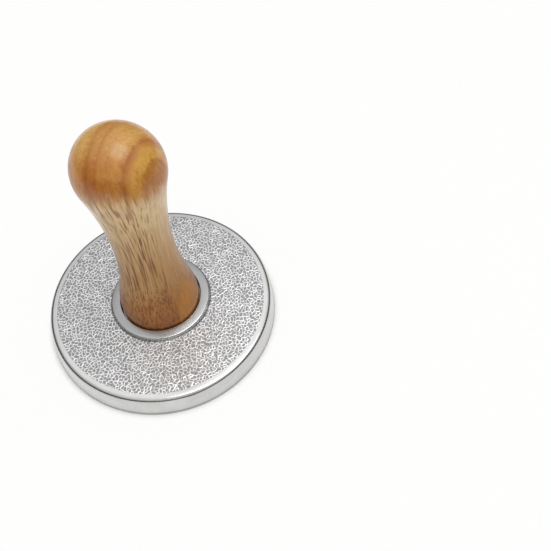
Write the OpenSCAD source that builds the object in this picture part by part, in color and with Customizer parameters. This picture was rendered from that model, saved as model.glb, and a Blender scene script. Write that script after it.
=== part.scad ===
// Cookie stamp: a cast plate with a swirl face and a turned wooden handle that screws on.
// Millimetres. The rim stands on the plane z = 0 and the common axis is Z.

/* [Plate] */
// Diameter of the rim at the face it rests on
rim_d = 80; // [70:1:95]
// Width of the flat rim around the swirl
rim_w = 2.6; // [2.4:0.1:4]
// Height of the plate's back above the resting face
plate_h = 8.2; // [8:0.1:11]
// Draft of the outside wall in degrees
wall_draft = 10.5; // [3:0.5:11]
// Rounding of the edge between the wall and the back
edge_r = 1.5; // [0.8:0.1:2]
// Rounding of the outer edge of the rim
foot_r = 0.4; // [0.2:0.1:0.8]
// Thickness of the plate behind the pocket that holds the swirl
back_t = 3; // [2.6:0.1:3.2]
// Inward lean of the pocket's wall, from its mouth to its floor
pocket_taper = 0.4; // [0.2:0.1:0.8]

/* [Swirl] */
// Number of ridges around the face
ridges = 18; // [12:1:24]
// Angle that a ridge turns from the centre to the rim
ridge_sweep = 31; // [0:1:60]
// Share of the pitch taken by the broad side of a ridge
broad_share = 0.66; // [0.5:0.01:0.75]
// Depth of the centre behind the rim
hub_depth = 3; // [2.4:0.1:3.2]
// Depth of the crests behind the rim at their outer ends
crest_depth = 0.3; // [0.1:0.1:1]
// Depth of the grooves behind the rim at their outer ends
groove_depth = 4.4; // [3.6:0.1:4.6]
// How early the ridges reach their full height
ridge_bow = 0.6; // [0.4:0.05:1]

/* [Ring and post] */
// Width of the ring around the foot of the handle
ring_w = 3.1; // [2.4:0.1:5]
// Height of the ring above the plate's back
ring_h = 1.4; // [0.8:0.1:3]
// Draft of the ring's outside wall in degrees
ring_draft = 12; // [3:1:15]
// Rounding of the ring's outer edge
ring_round = 0.35; // [0.2:0.05:0.6]
// Chamfer of the ring's inner edge
lip_chamfer = 0.2; // [0.1:0.05:0.4]
// Depth of the ring's floor below the plate's back
floor_sink = 0.8; // [0.4:0.1:1]
// Diameter of the tapped post
post_d = 11; // [10:0.5:13]
// Height of the tapped post above the ring's floor
post_h = 3; // [2:0.1:4]
// Chamfer around the top of the tapped post
post_chamfer = 0.3; // [0.1:0.1:0.6]
// Metal left between the tapped hole and the centre of the face
hole_web = 1.2; // [1:0.1:1.4]

/* [Handle] */
// Length of the handle
handle_len = 78.35; // [70:0.05:95]
// Diameter of the ball knob
ball_d = 25.5; // [24:0.5:32]
// Diameter of the waist
waist_d = 18.5; // [17:0.1:20]
// Height of the waist above the foot of the handle
waist_h = 35.3; // [30:0.1:38]
// Diameter of the handle just above its foot
base_d = 27; // [26:0.5:32]
// Height of the widest place of the base above the foot
belly_h = 1.9; // [1.2:0.1:3]
// Hollowness of the lower flank
hollow_share = 0.77; // [0.5:0.01:0.9]
// Chamfer around the foot of the handle
foot_chamfer = 0.6; // [0.3:0.1:1]

/* [Fastening] */
// Diameter of the stud's thread
thread_d = 6; // [5, 6]
// Chamfer at both ends of the stud
stud_chamfer = 0.6; // [0.3:0.1:1]
// Length of stud that stands in the insert
stud_reach = 9.5; // [8:0.1:11]
// Outside diameter of the threaded insert
insert_d = 10; // [9:0.5:11]
// Length of the threaded insert
insert_len = 13; // [12:0.1:15]
// Thickness of the washer under the handle
washer_t = 0.6; // [0.4:0.1:1]

/* [Clearances] */
// Open gap between the ring and the handle
ring_gap = 0.4; // [0.3:0.05:0.8]
// Radial clearance of the running thread
thread_gap = 0.05; // [0.02:0.01:0.1]
// Gap left around pieces that are fixed
fixed_gap = 0.02; // [0.01:0.01:0.05]
// Gap between flat faces that seat on each other
seat_gap = 0.05; // [0.02:0.01:0.1]
// Room around the post inside the handle and the washer
post_gap = 0.5; // [0.3:0.1:0.8]

/* [Hidden] */
$fn = 96;
eps = 0.01;
// Largest distance between a drawn arc and its chords
arc_sag = 0.015;

rim_r = rim_d / 2;
mouth_r = rim_r - rim_w;
// The pocket's floor, and how far the swirl is rooted in its floor and its wall
pocket_z = plate_h - back_t;
root_sink = 0.6;
root_z = pocket_z + root_sink;
root_r = mouth_r + root_sink;

// Levels along the axis, from the ring's floor up to the insert
base_r = base_d / 2;
socket_r = base_r + ring_gap;
ring_r = socket_r + ring_w;
ring_z = plate_h + ring_h;
ring_edge_r = ring_r - ring_round;
ring_edge_z = ring_z - ring_round;
ring_foot_r = ring_edge_r + ring_round / cos(ring_draft) + (ring_edge_z - plate_h) * tan(ring_draft);
floor_z = plate_h - floor_sink;
post_r = post_d / 2;
post_z = floor_z + post_h;
hole_z = hub_depth + hole_web;
washer_z = floor_z + seat_gap;
foot_z = washer_z + washer_t + seat_gap;
insert_z = post_z + post_gap;
thread_r = thread_d / 2;
stud_z = hole_z + seat_gap;
stud_top = insert_z + stud_reach;
insert_r = insert_d / 2;

// The handle's outline: a ball, a hollow above the waist, a hollow below it and a round base,
// each an arc that is tangent to the next
ball_r = ball_d / 2;
ball_z = foot_z + handle_len - ball_r;
waist_r = waist_d / 2;
waist_z = foot_z + waist_h;
belly_z = foot_z + belly_h;
ball_rise = ball_z - waist_z;
upper_r = (waist_r * waist_r + ball_rise * ball_rise - ball_r * ball_r) / (2 * (ball_r - waist_r));
flare = base_r - waist_r;
drop = waist_z - belly_z;
lower_r = hollow_share * (flare * flare + drop * drop) / (2 * flare);
belly_r = (flare * flare + drop * drop - 2 * flare * lower_r) / (2 * flare);
upper_turn = atan(ball_rise / (waist_r + upper_r));
lower_turn = atan(drop / (waist_r + lower_r - base_r + belly_r));

// Points of an arc around [x, z] from angle a0 to angle a1
function arc(x, z, r, a0, a1) =
  let (steps = ceil(abs(a1 - a0) / (2 * acos(1 - arc_sag / r))))
    [
      for (i = [0 : steps])
        let (a = a0 + (a1 - a0) * i / steps)
          [x + r * cos(a), z + r * sin(a)]
    ];

// A list of points without its first, for an arc that starts where the last one ended
function onward(points) = [for (i = [1 : len(points) - 1]) points[i]];

// Swirl surface: crests and grooves leave the centre together and part towards the rim
swirl_steps = 12;
swirl_crowding = 1.3;
pitch = 360 / ridges;
function step_r(i) = root_r * pow((i + 1) / (swirl_steps + 1), swirl_crowding);
function growth(r) = pow(r / mouth_r, ridge_bow);
function crest_z(r) = hub_depth - (hub_depth - crest_depth) * growth(r);
function groove_z(r) = hub_depth + (groove_depth - hub_depth) * growth(r);
function turn(r) = ridge_sweep * r / mouth_r;
function on_crest(r, k) = [r * cos(turn(r) + pitch * k), r * sin(turn(r) + pitch * k), crest_z(r)];
function on_groove(r, k) =
  let (a = turn(r) + pitch * (k + broad_share))
    [r * cos(a), r * sin(a), groove_z(r)];

module swirl() {
  count = 2 * ridges;
  last = swirl_steps * count;
  face = [
    for (i = [0 : swirl_steps])
      for (k = [0 : ridges - 1])
        each [on_crest(step_r(i), k), on_groove(step_r(i), k)]
  ];
  back = [for (j = [0 : count - 1]) [face[last + j][0], face[last + j][1], root_z]];
  hub = [[0, 0, hub_depth]];
  back_at = len(face);
  hub_at = back_at + count;
  polyhedron(
    points = concat(face, back, hub),
    faces = concat(
      [
        for (i = [0 : swirl_steps - 1])
          for (j = [0 : count - 1])
            let (a = i * count + j, b = i * count + (j + 1) % count)
              each [[a, a + count, b + count], [a, b + count, b]]
      ],
      [for (j = [0 : count - 1]) [hub_at, j, (j + 1) % count]],
      [
        for (j = [0 : count - 1])
          [last + j, back_at + j, back_at + (j + 1) % count, last + (j + 1) % count]
      ],
      [[for (j = [count - 1 : -1 : 0]) back_at + j]]
    )
  );
}

module casting() {
  foot_x = rim_r - foot_r;
  edge_z = plate_h - edge_r;
  edge_x = foot_x + (foot_r - edge_r - (edge_z - foot_r) * sin(wall_draft)) / cos(wall_draft);
  rotate_extrude()
    polygon(concat(
      [[0, pocket_z], [mouth_r - pocket_taper, pocket_z], [mouth_r, 0]],
      arc(foot_x, foot_r, foot_r, -90, wall_draft),
      arc(edge_x, edge_z, edge_r, wall_draft, 90),
      [[ring_foot_r, plate_h]],
      arc(ring_edge_r, ring_edge_z, ring_round, ring_draft, 90),
      [
        [socket_r + lip_chamfer, ring_z],
        [socket_r, ring_z - lip_chamfer],
        [socket_r, floor_z],
        [post_r, floor_z],
        [post_r, post_z - post_chamfer],
        [post_r - post_chamfer, post_z],
        [0, post_z]
      ]
    ));
}

module stamp_plate() {
  color("silver")
    difference() {
      union() {
        casting();
        swirl();
      }
      translate([0, 0, hole_z])
        cylinder(h = post_z - hole_z + eps, r = thread_r + fixed_gap);
    }
}

module stud() {
  color("gray")
    rotate_extrude()
      polygon([
        [0, stud_z],
        [thread_r - stud_chamfer, stud_z],
        [thread_r, stud_z + stud_chamfer],
        [thread_r, stud_top - stud_chamfer],
        [thread_r - stud_chamfer, stud_top],
        [0, stud_top]
      ]);
}

module seat_washer() {
  color("saddlebrown")
    translate([0, 0, washer_z])
      difference() {
        cylinder(h = washer_t, r = base_r - foot_chamfer);
        translate([0, 0, -eps])
          cylinder(h = washer_t + 2 * eps, r = post_r + post_gap);
      }
}

module threaded_insert() {
  color("goldenrod")
    translate([0, 0, insert_z])
      difference() {
        cylinder(h = insert_len, r = insert_r);
        translate([0, 0, -eps])
          cylinder(h = insert_len + 2 * eps, r = thread_r + thread_gap);
      }
}

module handle() {
  belly_x = base_r - belly_r;
  foot_turn = asin((foot_z + foot_chamfer - belly_z) / belly_r);
  top_z = insert_z + insert_len + seat_gap;
  color("peru")
    rotate_extrude()
      polygon(concat(
        [
          [0, top_z],
          [insert_r + fixed_gap, top_z],
          [insert_r + fixed_gap, insert_z],
          [post_r + post_gap, insert_z],
          [post_r + post_gap, foot_z],
          [base_r - 2 * foot_chamfer, foot_z]
        ],
        arc(belly_x, belly_z, belly_r, foot_turn, lower_turn),
        onward(arc(waist_r + lower_r, waist_z, lower_r, 180 + lower_turn, 180)),
        onward(arc(waist_r + upper_r, waist_z, upper_r, 180, 180 - upper_turn)),
        onward(arc(0, ball_z, ball_r, -upper_turn, 90))
      ));
}

stamp_plate();
stud();
seat_washer();
threaded_insert();
handle();
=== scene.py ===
import math
import random

import bpy
import numpy as np
from mathutils import Matrix, Vector
from mathutils.geometry import delaunay_2d_cdt

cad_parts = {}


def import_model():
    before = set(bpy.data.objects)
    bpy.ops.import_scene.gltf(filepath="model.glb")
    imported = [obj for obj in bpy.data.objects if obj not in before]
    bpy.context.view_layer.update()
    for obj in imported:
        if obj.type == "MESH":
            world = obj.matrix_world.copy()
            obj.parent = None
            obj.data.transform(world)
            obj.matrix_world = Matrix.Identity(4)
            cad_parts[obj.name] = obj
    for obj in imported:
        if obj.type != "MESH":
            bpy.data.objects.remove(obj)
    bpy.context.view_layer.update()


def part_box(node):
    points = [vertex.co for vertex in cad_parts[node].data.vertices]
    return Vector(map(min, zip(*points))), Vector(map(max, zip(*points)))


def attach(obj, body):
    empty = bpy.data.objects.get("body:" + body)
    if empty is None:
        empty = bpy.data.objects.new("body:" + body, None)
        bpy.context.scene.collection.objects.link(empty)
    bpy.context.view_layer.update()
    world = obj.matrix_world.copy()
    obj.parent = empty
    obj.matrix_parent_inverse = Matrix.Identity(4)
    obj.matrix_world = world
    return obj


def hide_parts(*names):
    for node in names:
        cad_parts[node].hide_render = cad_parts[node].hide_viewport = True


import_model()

MM = 0.001


def solid_box(node):
    """Lowest and highest corner of a solid, in millimetres."""
    low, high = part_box(node)
    return low / MM, high / MM


# Boxes of the solids; all sizes down to the studio are in millimetres
PLATE_HIGH = solid_box("stamp_plate")[1]
HANDLE_LOW, HANDLE_HIGH = solid_box("handle")
STUD_LOW, STUD_HIGH = solid_box("stud")
INSERT_LOW, INSERT_HIGH = solid_box("threaded_insert")
WASHER_LOW, WASHER_HIGH = solid_box("seat_washer")

# The plate
RIM_R = PLATE_HIGH.x
RIM_W = 2.6
MOUTH_R = RIM_R - RIM_W
MOUTH_EDGE = ((0.05, 0.04), (0.15, 0.0))
MOUTH_SOFT = 0.15
PLATE_H = 8.2
WALL_DRAFT = math.radians(10.5)
EDGE_R = 1.5
EDGE_END = 88
FOOT_R = 0.4
BORDER_FALL = 0.045

# The swirl
RIDGES = 18
PITCH_ANGLE = 2 * math.pi / RIDGES
RIDGE_SWEEP = math.radians(31)
BROAD_SHARE = 0.66
HUB_DEPTH = 3.0
CREST_DEPTH = 0.3
GROOVE_DEPTH = 4.4
RIDGE_BOW = 0.6
POCKET_TAPER = 0.08
SOFT_SHARE = 0.25
TAPER_ROUNDS = 4
SWIRL_STEPS = 44
STEP_GROWTH = 1.2
CREST_STEPS = (
    0, 0.02, 0.05, 0.1, 0.16, 0.24, 0.33, 0.42, 0.5, 0.57, 0.62, 0.65,
    0.67, 0.7, 0.74, 0.79, 0.84, 0.89, 0.93, 0.96, 0.98,
)

# The ring and the post
BASE_R = HANDLE_HIGH.x
SOCKET_R = BASE_R + 0.4
RING_R = SOCKET_R + 3.1
RING_Z = PLATE_H + 1.4
RING_DRAFT = math.radians(12)
RING_ROUND = 0.35
RING_FALL = 0.22
RING_TOP_ANGLE = 85
RING_GROOVE = ((0.42, 0.0), (0.22, -0.22))
LIP_ROUND = 0.25
FLOOR_Z = PLATE_H - 0.8
CORNER = 0.15
POST_R = 5.5
POST_Z = PLATE_HIGH.z
POST_CHAMFER = 0.3

# The crackled field on the back
FIELD_IN = RING_R + 0.68
FIELD_OUT = 36.0
FIELD_SINK = 0.12
FIELD_Z = PLATE_H - FIELD_SINK
STEP_TOP = FIELD_OUT + 0.12
STEP_FOOT = FIELD_OUT + 0.1
SITE_TRIES = 26000
SITE_MARGIN = 2
CELL_GAP = 0.88
GAP_SPREAD = (0.75, 1.45)
BUCKET = 1.2

# Raised lines and dots of the field; tops are shares of the ridge height
RIDGE_HEIGHT = 0.06
RIDGE_SECTION = ((-1.0, 0.0), (-0.7, 1.0), (0.7, 1.0), (1.0, 0.0))
LINE_HALF_WIDTH = (0.11, 0.25)
LINE_TOP = (0.6, 1.15)
LINE_BOW = (-0.18, 0.18)
LINE_ROLL = (-0.5, 0.5)
LINE_SHORTEST = 0.05
DROPPED_SHARE = 0.05
DOT_SIDES = 5
DOT_BROW = 0.72
MEETING_R = (0.14, 0.3)
MEETING_TOP = (0.8, 1.25)
GRAINS = 2500
GRAIN_R = (0.08, 0.18)
GRAIN_TOP = (0.35, 0.8)
GRAIN_MARGIN = 0.2

# The handle
FOOT_Z = HANDLE_LOW.z
FOOT_CHAMFER = 0.6
FOOT_INSET = 2.2 * FOOT_CHAMFER
HOLLOW_EDGE = 0.1
BELLY_Z = FOOT_Z + 1.9
WAIST_R = 9.25
WAIST_Z = FOOT_Z + 35.3
HOLLOW_SHARE = 0.77
BALL_R = 12.75
BALL_Z = HANDLE_HIGH.z - BALL_R
BALL_END = 89
HANDLE_SIDES = 144

# The fastening
CLEAR = 0.02
THREAD_R = STUD_HIGH.x
THREAD_PITCH = 1.0
THREAD_DEPTH = 0.55
THREAD_STEEP = 2.6
THREAD_FLAT = 0.25
ROWS_PER_PITCH = 10
STUD_SIDES = 48
STUD_RUNOUT = 0.8
HOLE_Z = STUD_LOW.z - 0.05
INSERT_BORE_R = 3.05
INSERT_FLARE_LOW, INSERT_FLARE_HIGH = 0.5, 0.4
INSERT_BEVEL = 0.4
INSERT_RUNOUT = 0.4
KNURL_TEETH = 32
KNURL_DEPTH = 0.3
KNURL_END = 0.6
WASHER_BORE_R = POST_R + 0.5
WASHER_SIDES = 96


# Shapes

def arc(x, z, radius, start, end, count):
    """Points of an arc in the plane of radius and height, angles in degrees."""
    angles = np.radians(np.linspace(start, end, count))
    return [(x + radius * math.cos(a), z + radius * math.sin(a)) for a in angles]


def turns(count):
    return np.linspace(0, 2 * math.pi, count, endpoint=False)


def ring(radius, height, angles):
    """One ring of points; radius and height may vary around it."""
    ones = np.ones_like(angles)
    return np.stack([radius * np.cos(angles), radius * np.sin(angles), height * ones], axis=1)


def lathe(profile, count):
    angles = turns(count)
    return [ring(r, z, angles) for r, z in profile]


def strip_faces(rows, count):
    """Quads between neighbouring rings, row by row."""
    faces = []
    for row in range(rows - 1):
        for col in range(count):
            a = row * count + col
            b = row * count + (col + 1) % count
            faces.append((a, b, b + count, a + count))
    return faces


def cap_faces(tip, start, count, flip):
    """Triangles from a tip to the ring of points that begins at start."""
    faces = []
    for col in range(count):
        pair = (start + col, start + (col + 1) % count)
        faces.append((tip, *(reversed(pair) if flip else pair)))
    return faces


def link(name, data):
    obj = bpy.data.objects.new(name, data)
    bpy.context.scene.collection.objects.link(obj)
    return obj


def ring_mesh(name, rings, first_pole=None, last_pole=None, sharp=35, slots=None):
    """Joins rings of equal length into one mesh, in metres. slots gives a material index per strip."""
    rows = len(rings)
    count = len(rings[0])
    slots = slots or [0] * (rows - 1)
    points = list(np.concatenate(rings))
    faces = strip_faces(rows, count)
    material = [slot for slot in slots for _ in range(count)]
    if first_pole is not None:
        faces += cap_faces(len(points), 0, count, flip=True)
        material += [slots[0]] * count
        points.append(first_pole)
    if last_pole is not None:
        faces += cap_faces(len(points), (rows - 1) * count, count, flip=False)
        material += [slots[-1]] * count
        points.append(last_pole)
    mesh = bpy.data.meshes.new(name)
    mesh.from_pydata([tuple(point) for point in np.array(points) * MM], [], faces)
    mesh.polygons.foreach_set("material_index", material)
    mesh.polygons.foreach_set("use_smooth", [True] * len(faces))
    mesh.set_sharp_from_angle(angle=math.radians(sharp))
    mesh.update()
    return link(name, mesh)


def dress(obj, body, node, slot, *materials):
    """Gives a piece its materials and its place in the frame."""
    for material in materials:
        obj.data.materials.append(material)
    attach(obj, body)
    if node:
        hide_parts(node)


# Shader building blocks

class Nodes:
    """Short calls for the nodes of one node tree."""

    def __init__(self, tree):
        self.tree = tree

    def feed(self, socket, value):
        if isinstance(value, bpy.types.NodeSocket):
            self.tree.links.new(value, socket)
        else:
            socket.default_value = value

    def math(self, operation, *values):
        node = self.tree.nodes.new("ShaderNodeMath")
        node.operation = operation
        for socket, value in zip(node.inputs, values):
            self.feed(socket, value)
        return node.outputs[0]

    def plus(self, first, second):
        return self.math("ADD", first, second)

    def minus(self, first, second):
        return self.math("SUBTRACT", first, second)

    def times(self, first, *others):
        for other in others:
            first = self.math("MULTIPLY", first, other)
        return first

    def vector_math(self, operation, *values, scale=None):
        node = self.tree.nodes.new("ShaderNodeVectorMath")
        node.operation = operation
        for socket, value in zip(node.inputs, values):
            self.feed(socket, value)
        if scale is not None:
            self.feed(node.inputs["Scale"], scale)
        return node.outputs["Value" if operation in ("DOT_PRODUCT", "LENGTH") else "Vector"]

    def dot(self, vector, direction):
        return self.vector_math("DOT_PRODUCT", vector, tuple(direction))

    def from_axis(self, x, y):
        return self.vector_math("LENGTH", self.join(x, y, 0.0))

    def split(self, vector):
        node = self.tree.nodes.new("ShaderNodeSeparateXYZ")
        self.feed(node.inputs[0], vector)
        return node.outputs

    def join(self, x, y, z):
        node = self.tree.nodes.new("ShaderNodeCombineXYZ")
        for socket, value in zip(node.inputs, (x, y, z)):
            self.feed(socket, value)
        return node.outputs[0]

    def noise(self, vector, scale, detail, roughness=0.5):
        node = self.tree.nodes.new("ShaderNodeTexNoise")
        self.feed(node.inputs["Vector"], vector)
        node.inputs["Scale"].default_value = scale
        node.inputs["Detail"].default_value = detail
        node.inputs["Roughness"].default_value = roughness
        return node.outputs["Fac"]

    def between(self, value, low, high, start=0.0, end=1.0, linear=False):
        """Goes from start to end while value goes from low to high."""
        node = self.tree.nodes.new("ShaderNodeMapRange")
        node.interpolation_type = "LINEAR" if linear else "SMOOTHSTEP"
        for socket, number in zip(node.inputs, (value, low, high, start, end)):
            self.feed(socket, number)
        return node.outputs[0]

    def ramp(self, value, *stops):
        node = self.tree.nodes.new("ShaderNodeValToRGB")
        self.feed(node.inputs[0], value)
        elements = node.color_ramp.elements
        while len(elements) < len(stops):
            elements.new(1.0)
        for element, (at, colour) in zip(elements, stops):
            element.position = at
            element.color = (*colour, 1)
        return node.outputs[0]

    def graded(self, value, table):
        """The colours of a table, by value from its first entry to its last."""
        low, high = table[0][0], table[-1][0]
        stops = [((at - low) / (high - low), colour) for at, colour in table]
        return self.ramp(self.between(value, low, high, linear=True), *stops)

    def mix(self, factor, first, second, blend="MIX"):
        node = self.tree.nodes.new("ShaderNodeMix")
        node.data_type = "RGBA"
        node.blend_type = blend
        self.feed(node.inputs[0], factor)
        for socket, value in zip((node.inputs[6], node.inputs[7]), (first, second)):
            self.feed(socket, value if isinstance(value, bpy.types.NodeSocket) else (*value, 1))
        return node.outputs[2]

    def mix_value(self, factor, first, second):
        node = self.tree.nodes.new("ShaderNodeMix")
        for socket, value in zip((node.inputs[0], node.inputs[2], node.inputs[3]), (factor, first, second)):
            self.feed(socket, value)
        return node.outputs[0]


class Shader(Nodes):
    """A node material; place is the position on the piece, in millimetres."""

    def __init__(self, name):
        self.material = bpy.data.materials.new(name)
        self.material.use_nodes = True
        super().__init__(self.material.node_tree)
        self.surface = self.tree.nodes["Principled BSDF"]
        coordinates = self.tree.nodes.new("ShaderNodeTexCoord")
        self.place = self.vector_math("SCALE", coordinates.outputs["Object"], scale=1 / MM)

    def stretched(self, *factors):
        return self.vector_math("MULTIPLY", self.place, factors)

    def bump(self, height, strength, depth):
        node = self.tree.nodes.new("ShaderNodeBump")
        node.inputs["Strength"].default_value = strength
        node.inputs["Distance"].default_value = depth * MM
        self.feed(node.inputs["Height"], height)
        self.feed(self.surface.inputs["Normal"], node.outputs[0])

    def whiten(self, share):
        """Lets a share of plain white show through wherever the surface itself is seen."""
        path = self.tree.nodes.new("ShaderNodeLightPath")
        seen = path.outputs["Is Camera Ray"]
        for name in ("Is Glossy Ray", "Is Transmission Ray"):
            seen = self.math("MAXIMUM", seen, path.outputs[name])
        white = self.tree.nodes.new("ShaderNodeEmission")
        both = self.tree.nodes.new("ShaderNodeMixShader")
        self.feed(both.inputs[0], self.times(seen, share))
        self.feed(both.inputs[1], self.surface.outputs[0])
        self.feed(both.inputs[2], white.outputs[0])
        self.feed(self.tree.nodes["Material Output"].inputs["Surface"], both.outputs[0])

    def set(self, **values):
        for name, value in values.items():
            self.feed(self.surface.inputs[name.replace("_", " ")], value)

    def metal(self, colour, roughness):
        self.set(Base_Color=colour, Metallic=1.0, Roughness=roughness)


# Metals

# Most values of a noise lie between these
NOISE_LOW, NOISE_HIGH = 0.3, 0.7

# Share of the second noise where two are blended
BLEND_SHARE = 0.4

# Grey levels and roughness, each from and to
WALL_TONES, WALL_ROUGHNESS = (0.52, 0.68), (0.16, 0.24)
# Painted light and shade: the back's band is a lighter copy of the wall's turned aluminium, and the ring a
# darker copy
BACK_LIT_TONES, BACK_ROUGHNESS = (0.68, 0.82), (0.12, 0.17)
RING_SHADED_TONES, RING_ROUGHNESS = (0.43, 0.52), (0.26, 0.34)
FACE_TONES, FACE_ROUGHNESS = (0.62, 0.7), (0.05, 0.12)
STEEL_TONES, STEEL_ROUGHNESS = (0.42, 0.58), (0.22, 0.36)
LINE_ROUGHNESS = (0.35, 0.5)
SKIN_ROUGHNESS = (0.52, 0.62)

# Grey levels by noise
LINE_TONES = ((0.3, 0.92), (0.65, 0.96))
SKIN_TONES = ((0.32, 0.25), (0.5, 0.39), (0.68, 0.57))

# How far the lathe's rings drift in a turn of one radian
RING_DRIFT = 0.15

# Painted shade: the foot of the wall is darkened between these heights, standing in for the contact shadow
# that it reflects
FOOT_PAINTED_SHADE = (0.62, 0.62, 0.61)
FOOT_FADE = (1.9, 0.9)

# The face is worn along its crests and lightened there with a painted highlight, and darkened in its grooves
# with painted shade: widths, tones and roughness
CREST_WEAR_AND_HIGHLIGHT = 0.22
WORN_AND_LIT_TONE = 0.9
WORN_ROUGHNESS = 0.3
GROOVE_SHADE = 0.9
GROOVE_SHADE_TONE = 0.5
HAIR_STRETCH = (4.0, 0.5, 1.0)
HAIR_FROM = 0.35

BRASS = ((0.62, 0.42, 0.14), (0.8, 0.6, 0.26))
BRASS_ROUGHNESS = (0.2, 0.34)
FIBRE = ((0.11, 0.045, 0.025), (0.22, 0.1, 0.06))
FIBRE_ROUGHNESS = 0.78
FLECK_STRETCH = (3.0, 1.2, 1.0)


def grey(level):
    return (level, level, level * 0.995)


# Grey with a cool cast, painted to cancel the warm reflection of the wooden handle in the back of the plate
def cool_grey(level):
    return (level * 0.985, level, level * 1.04)


def two_tones(shader, noise, first, second):
    return shader.ramp(noise, (NOISE_LOW, first), (NOISE_HIGH, second))


def toned(shader, noise, tint, table):
    return shader.ramp(noise, *((at, tint(level)) for at, level in table))


def by_noise(shader, noise, span):
    return shader.between(noise, NOISE_LOW, NOISE_HIGH, *span)


def turned_metal(name, tint, tones, roughness):
    """Satin aluminium with the fine rings that a lathe leaves."""
    shader = Shader(name)
    x, y, z = shader.split(shader.place)
    drift = shader.times(shader.math("ARCTAN2", y, x), RING_DRIFT)
    rings = shader.noise(shader.join(shader.from_axis(x, y), z, drift), scale=7.0, detail=4.0, roughness=0.6)
    cloud = shader.noise(shader.place, scale=0.22, detail=3.0)
    tone = shader.mix_value(BLEND_SHARE, rings, cloud)
    colour = two_tones(shader, tone, tint(tones[0]), tint(tones[1]))
    # Painted shade darkens the foot of the wall
    colour = shader.mix(shader.between(z, *FOOT_FADE), colour, FOOT_PAINTED_SHADE, "MULTIPLY")
    shader.metal(colour, by_noise(shader, rings, roughness))
    shader.bump(rings, strength=0.25, depth=0.02)
    return shader.material


def swirl_wear_and_shading(shader):
    """How far the crests of the swirl are worn and lit with a painted highlight, and how far its grooves are
    darkened with painted shade.
    """
    x, y, _ = shader.split(shader.place)
    radius = shader.from_axis(x, y)
    swept = shader.times(radius, RIDGE_SWEEP / MOUTH_R)
    turn = shader.minus(shader.math("ARCTAN2", y, x), swept)
    share = shader.math("FRACT", shader.math("DIVIDE", turn, PITCH_ANGLE))
    pitch = shader.times(radius, PITCH_ANGLE)
    from_crest = shader.math("MINIMUM", share, shader.minus(1.0, share))
    from_groove = shader.math("ABSOLUTE", shader.minus(share, BROAD_SHARE))
    worn_and_lit = shader.between(shader.times(from_crest, pitch), CREST_WEAR_AND_HIGHLIGHT, 0.0)
    painted_groove_shade = shader.between(shader.times(from_groove, pitch), GROOVE_SHADE, 0.0)
    return worn_and_lit, painted_groove_shade


def polished_metal():
    """Bright polished swirl face, worn and lightened with a painted highlight along the crests, and darkened
    with painted shade at the bottom of the grooves.
    """
    shader = Shader("polished_aluminium")
    worn_and_lit, painted_groove_shade = swirl_wear_and_shading(shader)
    hair = shader.noise(shader.stretched(*HAIR_STRETCH), scale=2.0, detail=3.0)
    cloud = shader.noise(shader.place, scale=0.12, detail=4.0)
    colour = two_tones(shader, cloud, grey(FACE_TONES[0]), grey(FACE_TONES[1]))
    # Painted shade in the grooves, then wear and a painted highlight along the crests
    colour = shader.mix(painted_groove_shade, colour, grey(GROOVE_SHADE_TONE), "MULTIPLY")
    colour = shader.mix(worn_and_lit, colour, grey(WORN_AND_LIT_TONE))
    polish = shader.between(hair, HAIR_FROM, NOISE_HIGH, *FACE_ROUGHNESS)
    shader.metal(colour, shader.mix_value(worn_and_lit, polish, WORN_ROUGHNESS))
    shader.bump(hair, strength=0.1, depth=0.01)
    return shader.material


def field_metal():
    """Dull as-cast skin between the raised lines."""
    shader = Shader("cast_skin")
    mottle = shader.noise(shader.place, scale=2.0, detail=3.0)
    grain = shader.noise(shader.place, scale=6.0, detail=2.0)
    tone = shader.mix_value(BLEND_SHARE, mottle, grain)
    colour = toned(shader, tone, cool_grey, SKIN_TONES)
    shader.metal(colour, by_noise(shader, grain, SKIN_ROUGHNESS))
    shader.bump(grain, strength=0.2, depth=0.05)
    return shader.material


def ridge_metal():
    """The raised lines, brightened by handling."""
    shader = Shader("bright_lines")
    wear = shader.noise(shader.place, scale=1.1, detail=3.0)
    colour = toned(shader, wear, cool_grey, LINE_TONES)
    shader.metal(colour, by_noise(shader, wear, LINE_ROUGHNESS))
    return shader.material


def plain_steel():
    shader = Shader("zinc_steel")
    cloud = shader.noise(shader.place, scale=1.5, detail=3.0)
    colour = two_tones(shader, cloud, grey(STEEL_TONES[0]), grey(STEEL_TONES[1]))
    shader.metal(colour, by_noise(shader, cloud, STEEL_ROUGHNESS))
    return shader.material


def turned_brass():
    shader = Shader("turned_brass")
    _, _, z = shader.split(shader.place)
    rings = shader.noise(shader.join(0.0, 0.0, z), scale=9.0, detail=3.0)
    shader.metal(two_tones(shader, rings, *BRASS), by_noise(shader, rings, BRASS_ROUGHNESS))
    shader.bump(rings, strength=0.3, depth=0.02)
    return shader.material


def pressed_fibre():
    shader = Shader("pressed_fibre")
    fleck = shader.noise(shader.stretched(*FLECK_STRETCH), scale=1.6, detail=4.0)
    shader.set(Base_Color=two_tones(shader, fleck, *FIBRE), Roughness=FIBRE_ROUGHNESS)
    shader.bump(fleck, strength=0.3, depth=0.05)
    return shader.material


# Wood

# Growth rings lie across this direction, bowed around a pith on the far side
RING_NORMAL = Vector((0.692, -0.722, 0.0)).normalized()
RING_SIDE = RING_NORMAL.cross(Vector((0, 0, 1)))
RING_BOW = 0.0166
RING_SWAY = 1.6
SWAY_STRETCH = 0.5
RING_FRAY = 1.2
LIMB_SIDE = Vector((0.94, -0.342, 0.0))

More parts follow.
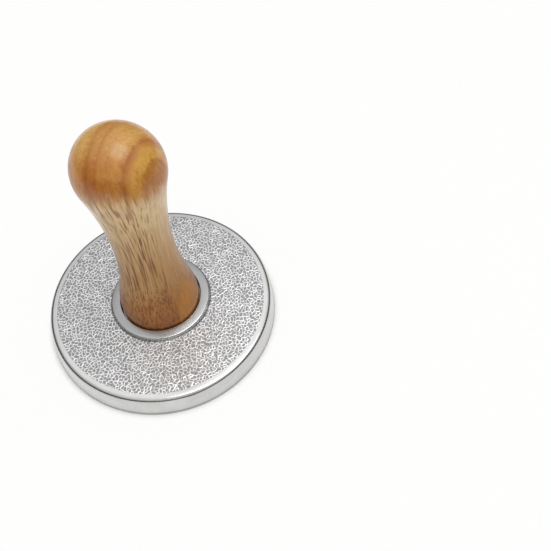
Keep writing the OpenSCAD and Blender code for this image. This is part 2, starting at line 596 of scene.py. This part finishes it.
# Tones of the knob from one growth ring to the next, by depth along the ring direction
GOLD = (0.7, 0.4, 0.095)
OCHRE = (0.6, 0.3, 0.05)
HONEY = (0.585, 0.27, 0.056)
AMBER = (0.53, 0.215, 0.038)
RUST = (0.49, 0.185, 0.031)
RUSSET = (0.42, 0.14, 0.022)
KNOB_RINGS = (
    (-14.0, HONEY), (-10.0, HONEY), (-8.8, AMBER), (-7.6, HONEY), (-4.6, HONEY),
    (-2.7, RUSSET), (-1.8, RUST), (-0.8, RUST), (-0.1, RUSSET), (1.0, AMBER),
    (3.0, AMBER), (5.0, HONEY), (6.4, AMBER), (7.1, RUSSET), (8.2, HONEY),
    (9.0, GOLD), (10.3, GOLD), (11.0, OCHRE), (14.0, OCHRE),
)
PATCH_DEPTH = 10.9
PATCH = (0.475, 0.195, 0.022)
PATCH_SHARE = 0.85
PATCH_EDGE = (PATCH_DEPTH - 0.5, PATCH_DEPTH + 0.5)
KNOB_PATCH = (0.86, 0.77, 0.68)
KNOB_PATCH_EDGE = (PATCH_DEPTH - 0.5, PATCH_DEPTH - 0.1)

# The knob is palest on top, partly its own tone and partly a painted highlight; it browns towards its lower
# edge, partly its own tone and partly painted shade; and it dips down the sides of the neck
KNOB_TOP_AND_HIGHLIGHT = (1.2, 1.58, 2.4)
KNOB_LEAN = 0.5
KNOB_LOW_BROWN_AND_SHADE = (0.8, 0.67, 0.42)
KNOB_EDGE = (72.0, 79.0)
KNOB_DIP = 6.0

# Side grain from the base up to the neck, by height
SIDE_GRAIN = (
    (10.0, (0.37, 0.125, 0.013)), (20.0, (0.43, 0.195, 0.04)), (34.0, (0.515, 0.305, 0.107)),
    (48.0, (0.59, 0.385, 0.165)), (66.0, (0.71, 0.515, 0.265)),
)
RED_BROWN = (0.4, 0.125, 0.035)
WARM_SIDE = (0.9, 0.83, 0.74)
FIBRE_SHADE = (0.84, 0.77, 0.66)
STREAK_BROWN = (0.6, 0.45, 0.27)
STREAK_SHARE = 0.85
PORE_BROWN = (0.2, 0.066, 0.006)

# Heights between which a feature sets in, from none to full
CROWN_AND_HIGHLIGHT_RISE = (79.0, 86.0)
LOWER_KNOB = (84.0, 76.0)
BASE_RED = (24.0, 12.0)
BASE_PATCH = (29.0, 23.0)
WARM_RISE = (58.0, 42.0)
LONG_LOW = (22.0, 36.0)
LONG_HIGH = (62.0, 52.0)
NECK_RISE = (30.0, 50.0)
CROWDING = (30.0, 22.0)
BASE_TINT = (14.0, 28.0)
PORE_FADE = (52.0, 64.0)

# How far noise shifts those heights
BROWN_SHIFT = 7.0
CLOUD_SHIFT = 6.0
LOWER_SHIFT = 10.0

# Values of a noise, or of the way that the surface faces, between which a feature sets in
HONEY_CLOUD = (0.45, 0.7)
RED_CLOUD = (0.48, 0.62)
STREAK_BY_PORES = (0.46, 0.62)
STREAK_BY_NOISE = (0.52, 0.68)
OPEN_PORES = (0.54, 0.62)
KNOB_DOTS = (0.6, 0.68)
WARM_LIMB = (-0.1, 0.4)
BARE_LIMB = (0.85, 0.35)

# How strong a feature is, from and to
HONEY_SHARE = (0.0, 0.3)
RED_SHARE = (0.0, 0.6)
CROWD_SHARE = (0.0, 0.025)
ROW_SPREAD = 0.24
LIMB_PORES = (0.15, 1.0)
TINT_SHARE = (0.3, 1.0)
PORE_SHARE = (0.95, 0.55)
DOT_SHARE = (0.12, 0.4)
WOOD_ROUGHNESS = (0.4, 0.5)


class Wood(Shader):
    """Open-pored hardwood: banded and warm on the knob and base, pale and streaked on the waist."""

    def __init__(self):
        super().__init__("lacquered_wood")
        self.x, self.y, self.height = self.split(self.place)
        # Streaks keep to one side of the handle all the way up its flare
        radius = self.from_axis(self.x, self.y)
        self.side_x = self.times(self.math("DIVIDE", self.x, radius), WAIST_R)
        self.side_y = self.times(self.math("DIVIDE", self.y, radius), WAIST_R)
        self.limb = self.dot(self.join(self.side_x, self.side_y, 0.0), LIMB_SIDE / WAIST_R)
        self.fibre = self.grain_noise(0.06, scale=1.3, detail=4.0, roughness=0.6)
        self.cloud = self.grain_noise(0.5, scale=0.26, detail=3.0)
        self.brown = self.side_noise(0.1, scale=0.85, detail=3.0)
        self.ring_at, self.clean_ring = self.growth_rings()
        # The finish stays pale on the side grain and turns warm where end grain shows
        by_brown = self.about_zero(self.brown, BROWN_SHIFT)
        uneven = self.plus(by_brown, self.about_zero(self.cloud, CLOUD_SHIFT))
        self.level = self.plus(self.height, uneven)
        dip = self.times(self.limb, self.limb, KNOB_DIP)
        self.below_knob = self.between(self.plus(self.level, dip), *KNOB_EDGE, 1.0, 0.0)
        patch = self.between(self.ring_at, *PATCH_EDGE)
        self.low_patch = self.times(patch, self.between(self.level, *BASE_PATCH))
        ragged = self.plus(self.height, self.about_zero(self.cloud, LOWER_SHIFT))
        self.lower = self.between(ragged, *LOWER_KNOB)

    def grain_noise(self, stretch, **look):
        """Noise drawn out up the handle."""
        return self.noise(self.join(self.x, self.y, self.times(self.height, stretch)), **look)

    def side_noise(self, stretch, **look):
        """Noise drawn out up the surface of the handle."""
        return self.noise(self.join(self.side_x, self.side_y, self.times(self.height, stretch)), **look)

    def about_zero(self, noise, amount):
        return self.times(self.minus(noise, 0.5), amount)

    def growth_rings(self):
        """Depth in the growth rings, which wander a little: frayed along the fibres, and clean."""
        depth = self.dot(self.place, RING_NORMAL)
        across = self.dot(self.place, RING_SIDE)
        slow = self.join(depth, across, self.times(self.height, SWAY_STRETCH))
        sway = self.about_zero(self.noise(slow, scale=0.12, detail=2.0), RING_SWAY)
        bowed = self.minus(depth, self.times(across, across, RING_BOW))
        clean = self.plus(bowed, sway)
        return self.plus(clean, self.about_zero(self.fibre, RING_FRAY)), clean

    def knob_colour(self):
        colour = self.graded(self.ring_at, KNOB_RINGS)
        colour = self.mix(self.between(self.cloud, *HONEY_CLOUD, *HONEY_SHARE), colour, HONEY)
        inner = self.between(self.clean_ring, *KNOB_PATCH_EDGE)
        colour = self.mix(inner, colour, KNOB_PATCH, "MULTIPLY")
        # Painted highlight on the top of the knob, over the wood's own paler tone
        crown_and_highlight = self.plus(self.height, self.times(self.y, KNOB_LEAN))
        colour = self.mix(self.between(crown_and_highlight, *CROWN_AND_HIGHLIGHT_RISE), colour, KNOB_TOP_AND_HIGHLIGHT, "MULTIPLY")
        # The lower knob is darker, partly its own browner tone and partly painted shade
        return self.mix(self.lower, colour, KNOB_LOW_BROWN_AND_SHADE, "MULTIPLY")

    def side_colour(self):
        colour = self.graded(self.level, SIDE_GRAIN)
        reddened = self.between(self.height, *BASE_RED, *RED_SHARE)
        reddened = self.times(self.between(self.cloud, *RED_CLOUD), reddened)
        colour = self.mix(reddened, colour, RED_BROWN)
        warmed = self.times(self.between(self.limb, *WARM_LIMB), self.between(self.level, *WARM_RISE))
        return self.mix(warmed, colour, WARM_SIDE, "MULTIPLY")

    def ground_colour(self):
        """Colour of the wood without its pores."""
        colour = self.mix(self.below_knob, self.knob_colour(), self.side_colour())
        colour = self.mix(self.times(self.low_patch, PATCH_SHARE), colour, PATCH)
        return self.mix(by_noise(self, self.fibre, (0.0, 1.0)), colour, FIBRE_SHADE, "MULTIPLY")

    def pore_pattern(self):
        """Noise whose peaks are pores: long on the waist, short on the neck and base."""
        streak = self.side_noise(0.03, scale=2.7, detail=1.0, roughness=0.3)
        neck = self.side_noise(0.07, scale=2.2, detail=1.5, roughness=0.4)
        fleck = self.side_noise(0.15, scale=3.0, detail=1.5, roughness=0.4)
        rows = self.grain_noise(0.12, scale=0.33, detail=1.0)
        crowded = self.between(self.height, *CROWDING, *CROWD_SHARE)
        grouped = self.plus(self.about_zero(rows, ROW_SPREAD), crowded)
        long_on = self.times(self.between(self.level, *LONG_LOW), self.between(self.level, *LONG_HIGH))
        short = self.mix_value(self.between(self.height, *NECK_RISE), fleck, neck)
        return self.plus(self.mix_value(long_on, short, streak), grouped)

    def porous(self):
        """Pores show on the side that the grain faces, and not on the low patch."""
        facing = self.between(self.limb, *BARE_LIMB, *LIMB_PORES)
        return self.times(facing, self.minus(1.0, self.low_patch))

    def streaks(self, pores, porous):
        """Brown streaks around the pores."""
        near_pores = self.between(pores, *STREAK_BY_PORES)
        tinted = self.math("MAXIMUM", near_pores, self.between(self.brown, *STREAK_BY_NOISE))
        tinted = self.times(tinted, porous, self.below_knob, STREAK_SHARE)
        return self.times(tinted, self.between(self.height, *BASE_TINT, *TINT_SHARE))

    def dark_pores(self, pores, porous):
        """The pores themselves, and dots on the knob."""
        strength = self.between(self.height, *PORE_FADE, *PORE_SHARE)
        open_pores = self.times(self.between(pores, *OPEN_PORES), porous, strength)
        speck = self.grain_noise(0.3, scale=1.7, detail=1.0, roughness=0.3)
        few = self.between(self.lower, 0.0, 1.0, *DOT_SHARE)
        dots = self.times(self.between(speck, *KNOB_DOTS), few)
        return self.mix_value(self.below_knob, dots, open_pores)


def lacquered_wood():
    wood = Wood()
    pores = wood.pore_pattern()
    porous = wood.porous()
    dark = wood.dark_pores(pores, porous)
    colour = wood.mix(wood.streaks(pores, porous), wood.ground_colour(), STREAK_BROWN, "MULTIPLY")
    wood.set(
        Base_Color=wood.mix(dark, colour, PORE_BROWN),
        Roughness=by_noise(wood, wood.fibre, WOOD_ROUGHNESS),
        Specular_IOR_Level=0.12,
        Coat_Weight=0.7,
        Coat_Roughness=0.23,
        Coat_IOR=1.6,
    )
    wood.bump(wood.minus(1.0, dark), strength=0.25, depth=0.05)
    return wood.material


# The casting

WALL, POLISHED, SKIN, BACK, RING = range(5)


def ridge_fall():
    """How far down each point around the swirl lies, from 0 on a crest to 1 in a groove."""
    share = np.array(CREST_STEPS)
    fall = np.where(share < BROAD_SHARE, share / BROAD_SHARE, (1 - share) / (1 - BROAD_SHARE))
    # A soft crest and a soft root take the knife edge off the casting
    soft = 0.5 - 0.5 * np.cos(np.pi * fall)
    return np.tile(soft * SOFT_SHARE + fall * (1 - SOFT_SHARE), RIDGES)


def swirl_rings():
    """Rings of the swirl face from the centre to the wall of the rim, and their angles there."""
    fall = ridge_fall()
    phase = (np.arange(RIDGES)[:, None] + np.array(CREST_STEPS)[None, :]).ravel() * PITCH_ANGLE

    def height(radius):
        growth = (radius / MOUTH_R) ** RIDGE_BOW
        crest = HUB_DEPTH - (HUB_DEPTH - CREST_DEPTH) * growth
        groove = HUB_DEPTH + (GROOVE_DEPTH - HUB_DEPTH) * growth
        return crest + (groove - crest) * fall

    # The pocket's wall leans, so its radius depends on the depth that the ridges reach there
    end = np.full_like(phase, MOUTH_R)
    for _ in range(TAPER_ROUNDS):
        end = MOUTH_R - POCKET_TAPER * height(end)
    rings = []
    for step in range(1, SWIRL_STEPS + 1):
        radius = end * (step / SWIRL_STEPS) ** STEP_GROWTH
        angle = phase + RIDGE_SWEEP * radius / MOUTH_R
        rings.append(np.stack([radius * np.cos(angle), radius * np.sin(angle), height(radius)], axis=1))
    return rings, phase + RIDGE_SWEEP * end / MOUTH_R


def wall_profile():
    """Outline from the rim's flat up the wall and over the edge."""
    foot_x = RIM_R - FOOT_R
    edge_z = PLATE_H - BORDER_FALL - EDGE_R
    lean = math.degrees(WALL_DRAFT)
    inward = FOOT_R - EDGE_R - (edge_z - FOOT_R) * math.sin(WALL_DRAFT)
    edge_x = foot_x + inward / math.cos(WALL_DRAFT)
    mouth = [(MOUTH_R + out, z) for out, z in MOUTH_EDGE]
    foot = arc(foot_x, FOOT_R, FOOT_R, -90, lean, 7)
    edge = arc(edge_x, edge_z, EDGE_R, lean, EDGE_END, 14)
    return mouth + foot + edge


def ring_profile():
    """Outline of the groove at the ring's foot, of its wall, and of its top, socket, post and hole."""
    edge_r = RING_R - RING_ROUND
    edge_z = RING_Z - RING_ROUND
    slope = RING_ROUND / math.cos(RING_DRAFT) + (edge_z - PLATE_H) * math.tan(RING_DRAFT)
    foot_r = edge_r + slope
    lip_z = RING_Z + RING_FALL - LIP_ROUND
    groove = [(foot_r + out, FIELD_Z + z) for out, z in RING_GROOVE]
    wall = [(foot_r, FIELD_Z)]
    wall += arc(edge_r, edge_z, RING_ROUND, math.degrees(RING_DRAFT), RING_TOP_ANGLE, 7)
    inside = arc(SOCKET_R + LIP_ROUND, lip_z, LIP_ROUND, RING_TOP_ANGLE, 180, 5)
    inside += [
        (SOCKET_R, FLOOR_Z + CORNER),
        (SOCKET_R - CORNER, FLOOR_Z),
        (POST_R + CORNER, FLOOR_Z),
        (POST_R, FLOOR_Z + CORNER),
        (POST_R, POST_Z - POST_CHAMFER),
        (POST_R - POST_CHAMFER, POST_Z),
        (THREAD_R + POST_CHAMFER, POST_Z),
        (THREAD_R + CLEAR, POST_Z - POST_CHAMFER + CLEAR),
        (THREAD_R + CLEAR, HOLE_Z),
    ]
    return groove, wall, inside


def casting_sections():
    """Outline of the casting from its mouth to its hole, with the finish of each stretch."""
    groove, ring_wall, inside = ring_profile()
    field = [(STEP_FOOT, FIELD_Z), (FIELD_OUT, FIELD_Z), (FIELD_IN, FIELD_Z)]
    return [
        (POLISHED, [(MOUTH_R, MOUTH_SOFT)]),
        (WALL, wall_profile()),
        (BACK, [(STEP_TOP, PLATE_H)]),
        (SKIN, field + groove),
        (WALL, ring_wall),
        (RING, inside),
    ]


def casting():
    rings, angles = swirl_rings()
    slots = [POLISHED] * (SWIRL_STEPS - 1)
    for slot, points in casting_sections():
        rings += [ring(r, z, angles) for r, z in points]
        slots += [slot] * len(points)
    hub = (0, 0, HUB_DEPTH)
    hole = (0, 0, HOLE_Z)
    obj = ring_mesh("plate_casting", rings, first_pole=hub, last_pole=hole, sharp=28, slots=slots)
    wall = turned_metal("turned_wall", grey, WALL_TONES, WALL_ROUGHNESS)
    # The band is lightened with painted light and the ring darkened with painted shade
    back = turned_metal("turned_back_lit", cool_grey, BACK_LIT_TONES, BACK_ROUGHNESS)
    boss = turned_metal("turned_ring_shaded", cool_grey, RING_SHADED_TONES, RING_ROUGHNESS)
    finishes = (wall, polished_metal(), field_metal(), back, boss)
    dress(obj, "plate", "stamp_plate", "cast_aluminium", *finishes)


# The crackle

def random_spot(draw, low, high):
    """A point between two radii, evenly spread."""
    radius = math.sqrt(draw.uniform(low * low, high * high))
    angle = draw.uniform(0, 2 * math.pi)
    return Vector((radius * math.cos(angle), radius * math.sin(angle)))


def scattered_sites(draw):
    """Points about CELL_GAP apart, all over the field and a little beyond it."""
    buckets = {}
    sites = []
    for _ in range(SITE_TRIES):
        point = random_spot(draw, FIELD_IN - SITE_MARGIN, FIELD_OUT + SITE_MARGIN)
        gap = CELL_GAP * draw.uniform(*GAP_SPREAD)
        cell = (int(point.x // BUCKET), int(point.y // BUCKET))
        near = (
            other
            for i in (-1, 0, 1)
            for j in (-1, 0, 1)
            for other in buckets.get((cell[0] + i, cell[1] + j), ())
        )
        if all((point - other).length > gap for other in near):
            sites.append(point)
            buckets.setdefault(cell, []).append(point)
    return sites


def circle_centre(a, b, c):
    """Centre of the circle through three points."""
    twice = 2 * (a.x * (b.y - c.y) + b.x * (c.y - a.y) + c.x * (a.y - b.y))
    x = a.length_squared * (b.y - c.y) + b.length_squared * (c.y - a.y) + c.length_squared * (a.y - b.y)
    y = a.length_squared * (c.x - b.x) + b.length_squared * (a.x - c.x) + c.length_squared * (b.x - a.x)
    return Vector((x / twice, y / twice))


def cell_borders(sites):
    """The lines between neighbouring sites."""
    points, _, triangles, *_ = delaunay_2d_cdt(sites, [], [], 0, 1e-6)
    beside = {}
    for index, triangle in enumerate(triangles):
        for k in range(3):
            pair = tuple(sorted((triangle[k], triangle[(k + 1) % 3])))
            beside.setdefault(pair, []).append(index)
    centres = [circle_centre(*(points[i] for i in triangle)) for triangle in triangles]
    return [(centres[t[0]], centres[t[1]]) for t in beside.values() if len(t) == 2]


def clipped(start, end):
    """The stretch of a line that lies on the field, or None."""
    pair = [start, end]
    for limit, outward in ((FIELD_OUT, 1), (FIELD_IN, -1)):
        beyond = [outward * (point.length - limit) for point in pair]
        if min(beyond) >= 0:
            return None
        if max(beyond) > 0:
            outer = beyond.index(max(beyond))
            pair[outer] = pair[0].lerp(pair[1], beyond[0] / (beyond[0] - beyond[1]))
    return pair


class Relief:
    """Low flat-topped lines and dots that stand on the field."""

    def __init__(self):
        self.points = []
        self.faces = []

    def add(self, spot, height):
        self.points.append((spot.x * MM, spot.y * MM, (FIELD_Z + height) * MM))
        return len(self.points) - 1

    def line(self, start, end, half_width, top, bow, roll):
        run = end - start
        side = Vector((-run.y, run.x)).normalized()
        rows = []
        for along in (0.0, 0.5, 1.0):
            middle = start + run * along + side * (bow * run.length * 4 * along * (1 - along))
            rows.append([
                self.add(middle + side * (u * half_width), top * rise * (1 + u * roll))
                for u, rise in RIDGE_SECTION
            ])
        for low, high in zip(rows, rows[1:]):
            for k in range(len(RIDGE_SECTION) - 1):
                self.faces.append((low[k], high[k], high[k + 1], low[k + 1]))

    def dot(self, centre, radius, top):
        around = [Vector((math.cos(a), math.sin(a))) for a in turns(DOT_SIDES)]
        foot = [self.add(centre + way * radius, 0.0) for way in around]
        brow = [self.add(centre + way * radius * DOT_BROW, top) for way in around]
        self.faces.append(tuple(brow))
        for k in range(DOT_SIDES):
            n = (k + 1) % DOT_SIDES
            self.faces.append((foot[k], foot[n], brow[n], brow[k]))

    def mesh(self, name):
        mesh = bpy.data.meshes.new(name)
        mesh.from_pydata(self.points, [], self.faces)
        mesh.update()
        return mesh


def add_lines(relief, draw):
    """Draws the lines and returns the points where they meet."""
    meetings = {}
    for border in cell_borders(scattered_sites(draw)):
        half_width = draw.uniform(*LINE_HALF_WIDTH)
        top = RIDGE_HEIGHT * draw.uniform(*LINE_TOP)
        bow = draw.uniform(*LINE_BOW)
        roll = draw.uniform(*LINE_ROLL)
        dropped = draw.random() < DROPPED_SHARE
        pair = clipped(*border)
        if dropped or pair is None or (pair[1] - pair[0]).length < LINE_SHORTEST:
            continue
        relief.line(*pair, half_width, top, bow, roll)
        for point in pair:
            meetings[(round(point.x, 3), round(point.y, 3))] = point
    return meetings.values()


def crackle():
    """Raised worm-like lines over the back, thickened where they meet, and loose grains."""
    draw = random.Random(7)
    relief = Relief()
    for point in add_lines(relief, draw):
        relief.dot(point, draw.uniform(*MEETING_R), RIDGE_HEIGHT * draw.uniform(*MEETING_TOP))
    for _ in range(GRAINS):
        spot = random_spot(draw, FIELD_IN + GRAIN_MARGIN, FIELD_OUT - GRAIN_MARGIN)
        relief.dot(spot, draw.uniform(*GRAIN_R), RIDGE_HEIGHT * draw.uniform(*GRAIN_TOP))
    obj = link("plate_crackle", relief.mesh("plate_crackle"))
    dress(obj, "plate", None, "cast_aluminium", ridge_metal())


# The handle

def handle_hollow():
    """Outline of the hollow in the foot, from the insert's seat out to the foot."""
    seat_r = INSERT_HIGH.x + CLEAR
    return [
        (seat_r, INSERT_HIGH.z),
        (seat_r, INSERT_LOW.z),
        (WASHER_BORE_R - HOLLOW_EDGE, INSERT_LOW.z),
        (WASHER_BORE_R, INSERT_LOW.z - HOLLOW_EDGE),
        (WASHER_BORE_R, FOOT_Z + CORNER),
        (WASHER_BORE_R + CORNER, FOOT_Z),
    ]


def handle_outside():
    """Tangent arcs from the foot over the base, the waist and the ball."""
    flare = BASE_R - WAIST_R
    drop = WAIST_Z - BELLY_Z
    reach = (flare * flare + drop * drop) / (2 * flare)
    lower_r = HOLLOW_SHARE * reach
    belly_r = reach - lower_r
    rise = BALL_Z - WAIST_Z
    upper_r = (WAIST_R ** 2 + rise ** 2 - BALL_R ** 2) / (2 * (BALL_R - WAIST_R))
    lower_turn = math.degrees(math.atan(drop / (WAIST_R + lower_r - BASE_R + belly_r)))
    upper_turn = math.degrees(math.atan(rise / (WAIST_R + upper_r)))
    foot_turn = math.degrees(math.asin((FOOT_Z + FOOT_CHAMFER - BELLY_Z) / belly_r))
    return (
        arc(BASE_R - FOOT_INSET, FOOT_Z + FOOT_CHAMFER, FOOT_CHAMFER, -90, -45, 4)
        + arc(BASE_R - belly_r, BELLY_Z, belly_r, foot_turn, lower_turn, 16)
        + arc(WAIST_R + lower_r, WAIST_Z, lower_r, 180 + lower_turn, 180, 22)[1:]
        + arc(WAIST_R + upper_r, WAIST_Z, upper_r, 180, 180 - upper_turn, 20)[1:]
        + arc(0, BALL_Z, BALL_R, -upper_turn, BALL_END, 60)[1:]
    )


def handle():
    rings = lathe(handle_hollow() + handle_outside(), HANDLE_SIDES)
    seat = (0, 0, INSERT_HIGH.z)
    top = (0, 0, HANDLE_HIGH.z)
    obj = ring_mesh("turned_handle", rings, first_pole=seat, last_pole=top, sharp=40)
    dress(obj, "handle", "handle", "lacquered_wood", lacquered_wood())


# The fastening

def helix_rings(radius, low, high, count, taper, inward=False):
    """Rings whose radius follows a screw thread; the ends run out over taper."""
    angles = turns(count)
    rings = []
    rows = int((high - low) / (THREAD_PITCH / ROWS_PER_PITCH))
    for z in np.linspace(low, high, rows):
        phase = (z / THREAD_PITCH - angles / (2 * math.pi)) % 1.0
        groove = np.clip(np.abs(phase - 0.5) * THREAD_STEEP - THREAD_FLAT, 0, 1)
        runout = min(1.0, (z - low) / taper, (high - z) / taper)
        if inward:
            offset = THREAD_DEPTH * (1 - groove) * runout
        else:
            offset = -THREAD_DEPTH * np.maximum(groove, 1 - runout)
        rings.append(ring(radius + offset, z, angles))
    return rings


def stud():
    rings = helix_rings(THREAD_R, STUD_LOW.z, STUD_HIGH.z, STUD_SIDES, STUD_RUNOUT)
    bottom = (0, 0, STUD_LOW.z)
    top = (0, 0, STUD_HIGH.z)
    obj = ring_mesh("threaded_stud", rings, first_pole=bottom, last_pole=top, sharp=50)
    dress(obj, "plate", "stud", "steel", plain_steel())


def insert():
    """Knurled outside, threaded bore."""
    angles = turns(KNURL_TEETH * 4)
    knurl = np.tile([0.0, 0.0, -KNURL_DEPTH, -KNURL_DEPTH], KNURL_TEETH)
    low, high = INSERT_LOW.z, INSERT_HIGH.z
    outside = INSERT_HIGH.x
    shell = [
        ring(INSERT_BORE_R + INSERT_FLARE_LOW, low, angles),
        ring(outside - INSERT_BEVEL, low, angles),
        ring(outside - KNURL_DEPTH, low + INSERT_BEVEL, angles),
        ring(outside + knurl, low + KNURL_END, angles),
        ring(outside + knurl, high - KNURL_END, angles),
        ring(outside - INSERT_BEVEL, high, angles),
        ring(INSERT_BORE_R + INSERT_FLARE_HIGH, high, angles),
    ]
    bore = helix_rings(INSERT_BORE_R, low, high, len(angles), INSERT_RUNOUT, inward=True)
    obj = ring_mesh("knurled_insert", shell + bore[::-1] + shell[:1], sharp=35)
    dress(obj, "handle", "threaded_insert", "brass", turned_brass())


def washer():
    low, high = WASHER_LOW.z, WASHER_HIGH.z
    outside = WASHER_HIGH.x
    profile = [
        (WASHER_BORE_R, low + CORNER),
        (WASHER_BORE_R + CORNER, low),
        (outside - CORNER, low),
        (outside, low + CORNER),
        (outside, high - CORNER),
        (outside - CORNER, high),
        (WASHER_BORE_R + CORNER, high),
        (WASHER_BORE_R, high - CORNER),
        (WASHER_BORE_R, low + CORNER),
    ]
    obj = ring_mesh("fibre_washer", lathe(profile, WASHER_SIDES), sharp=60)
    dress(obj, "washer", "seat_washer", "fibre", pressed_fibre())


# The studio, in metres

FLOOR_R = 2.4
SWEEP_R = 0.8
BACKDROP_H = 1.6
FLOOR_SIDES = 96
FLOOR_TONES = ((0.94, 0.94, 0.935), (0.96, 0.96, 0.955))
FLOOR_WHITE = 0.88
NEAR_R, FAR_R = 0.0397, 0.042

CARD_R = 0.6
CARD_TOP = 0.45
CARD_FRONT_TOP = 0.23
CARD_LOW = 0.001
CARD_SIDES = 48
FRONT_POWER = 4
CARD_GREY = (0.12, 0.12, 0.12, 1)
CLOTH_R = 0.057

LIGHT_TINT = (1.0, 0.985, 0.955)
WORLD_LEFT = 0.4
WORLD_RIGHT = 0.59
WORLD_GLOW = 2.05
GLOW_RISE = (0.6, 0.88)

LAMP_AIM = Vector((0, 0, 0.04))
LAMP_TOWARDS = Vector((0.2, -0.07, 0.97)).normalized()
LAMP_FAR = 1.4
LAMP_LONG = 0.95
LAMP_WIDE = 0.85
LAMP_WATTS = 5.5

# The camera was solved from the stamp's outlines in the photograph
CAMERA_AT = Vector((-0.33, -117.68, 192.46)) * MM
CAMERA_YAW = math.radians(20.256)
CAMERA_PITCH = math.radians(57.221)
CAMERA_ROLL = math.radians(-1.224)
FOCAL_PX = 609.17
FRAME_PX = 551
SENSOR_MM = 36.0
CLIP_NEAR = 0.005


def floor():
    """A white table top that sweeps up into a round backdrop."""
    sweep = arc(FLOOR_R - SWEEP_R, SWEEP_R, SWEEP_R, -90, 0, 12)
    profile = [(r / MM, z / MM) for r, z in sweep + [(FLOOR_R, BACKDROP_H)]]
    obj = ring_mesh("floor", lathe(profile, FLOOR_SIDES), first_pole=(0, 0, 0))
    shader = Shader("white_table")
    x, y, _ = shader.split(shader.place)
    tone = shader.noise(shader.place, scale=0.01, detail=2.0)
    shader.set(
        Base_Color=two_tones(shader, tone, *FLOOR_TONES),
        Roughness=0.7,
        Specular_IOR_Level=0.1,
    )
    away = shader.from_axis(x, y)
    shader.whiten(shader.between(away, NEAR_R / MM, FAR_R / MM, 0.0, FLOOR_WHITE))
    obj.data.materials.append(shader.material)


def grey_cards():
    """Grey cards around the table and a grey cloth before it, seen only in reflections."""
    angles = turns(CARD_SIDES)
    front = np.clip(-np.sin(angles), 0, 1) ** FRONT_POWER
    top = CARD_TOP + (CARD_FRONT_TOP - CARD_TOP) * front
    near = CARD_R + (CLOTH_R - CARD_R) * front
    edges = ((near, CARD_LOW), (CARD_R, CARD_LOW), (CARD_R, top))
    obj = ring_mesh("grey_cards", [ring(r / MM, z / MM, angles) for r, z in edges])
    shader = Shader("grey_card")
    shader.set(Base_Color=CARD_GREY, Roughness=0.9)
    obj.data.materials.append(shader.material)
    obj.visible_camera = False
    obj.visible_diffuse = False
    obj.visible_shadow = False


def world():
    """A pale room, brighter to the right and overhead."""
    room = bpy.data.worlds.new("studio")
    bpy.context.scene.world = room
    room.use_nodes = True
    nodes = Nodes(room.node_tree)
    background = room.node_tree.nodes["Background"]
    background.inputs["Color"].default_value = (*LIGHT_TINT, 1)
    towards = room.node_tree.nodes.new("ShaderNodeTexCoord").outputs["Generated"]
    x, _, z = nodes.split(towards)
    level = nodes.between(x, -1.0, 1.0, WORLD_LEFT, WORLD_RIGHT, linear=True)
    glow = nodes.between(z, *GLOW_RISE, 1.0, WORLD_GLOW, linear=True)
    nodes.feed(background.inputs["Strength"], nodes.times(level, glow))


def lamp():
    light = bpy.data.lights.new("overhead", "AREA")
    light.shape = "ELLIPSE"
    light.size = LAMP_LONG
    light.size_y = LAMP_WIDE
    light.energy = LAMP_WATTS
    light.color = LIGHT_TINT
    obj = link("overhead", light)
    obj.location = LAMP_AIM + LAMP_TOWARDS * LAMP_FAR
    obj.rotation_euler = LAMP_TOWARDS.to_track_quat("Z", "Y").to_euler()


def camera():
    data = bpy.data.cameras.new("photo_camera")
    data.sensor_fit = "HORIZONTAL"
    data.sensor_width = SENSOR_MM
    data.lens = FOCAL_PX / FRAME_PX * SENSOR_MM
    data.clip_start = CLIP_NEAR
    obj = link("photo_camera", data)
    level = math.cos(CAMERA_PITCH)
    ahead = Vector((math.sin(CAMERA_YAW) * level, math.cos(CAMERA_YAW) * level, -math.sin(CAMERA_PITCH)))
    right = Vector((math.cos(CAMERA_YAW), -math.sin(CAMERA_YAW), 0))
    up = right.cross(ahead)
    rolled_right = right * math.cos(CAMERA_ROLL) + up * math.sin(CAMERA_ROLL)
    rolled_up = up * math.cos(CAMERA_ROLL) - right * math.sin(CAMERA_ROLL)
    turn = Matrix((rolled_right, rolled_up, -ahead)).transposed()
    obj.matrix_world = Matrix.Translation(CAMERA_AT) @ turn.to_4x4()
    bpy.context.scene.camera = obj


casting()
crackle()
handle()
stud()
insert()
washer()
floor()
grey_cards()
world()
lamp()
camera()
bpy.context.scene.view_settings.view_transform = "Standard"
